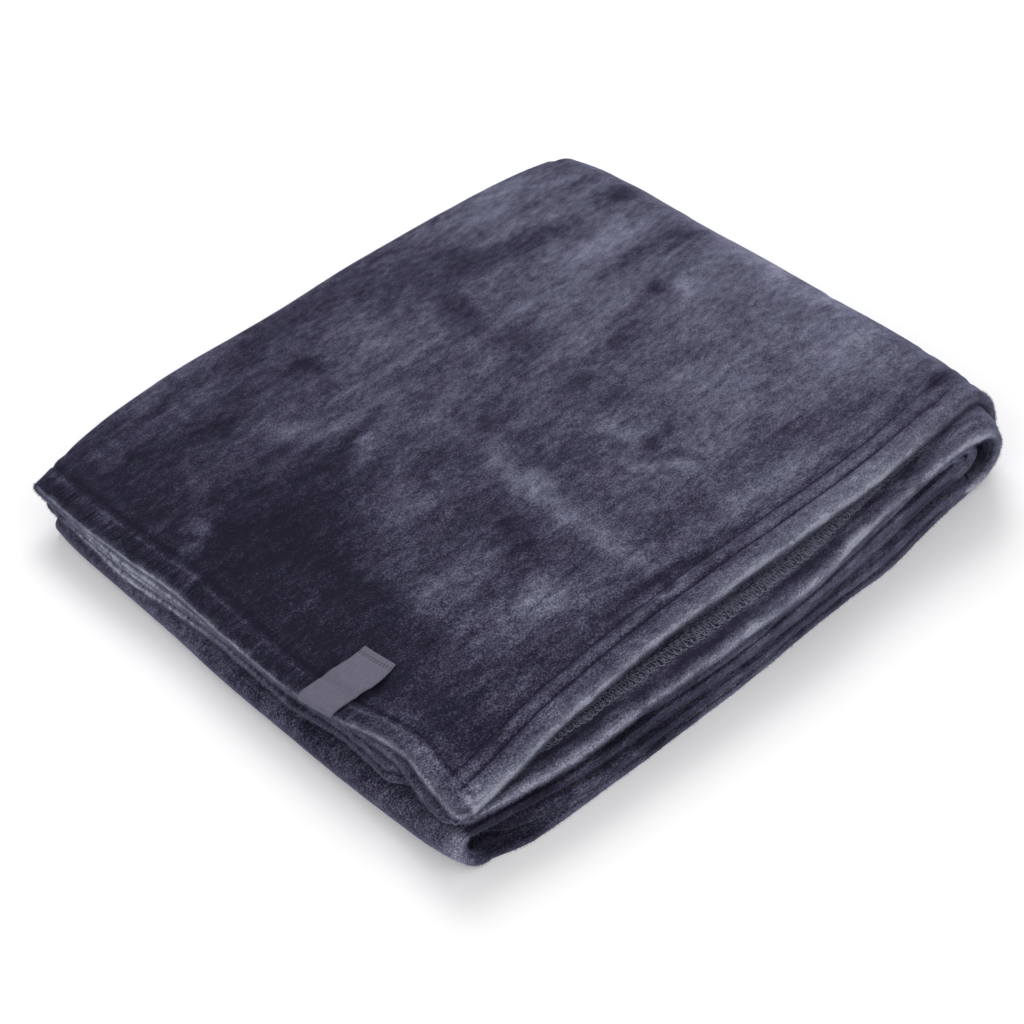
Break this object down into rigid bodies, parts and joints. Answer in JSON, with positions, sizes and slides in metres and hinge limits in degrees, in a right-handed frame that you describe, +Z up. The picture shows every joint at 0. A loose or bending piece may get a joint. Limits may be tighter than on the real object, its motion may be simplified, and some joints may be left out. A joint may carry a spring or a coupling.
{
  "type": "folded throw blanket",
  "caption": "Plush throw folded into a soft rectangular pile, with open hems at the front and left, a rounded fold at the right end and a small woven label on the top corner.",
  "frame": {"origin": "on the floor, under the middle of the pile's outline", "axes": "+X along the long side of the pile towards its rounded fold, +Y across the pile away from the open hems, +Z up"},
  "size_m": [0.5002, 0.4234, 0.0653],
  "materials": {
    "plush": "matte plush with short pile",
    "label_weave": "matte woven ribbon"
  },
  "bodies": {
    "root": {"blanket": "plush", "label": "label_weave"}
  },
  "joints": []
}
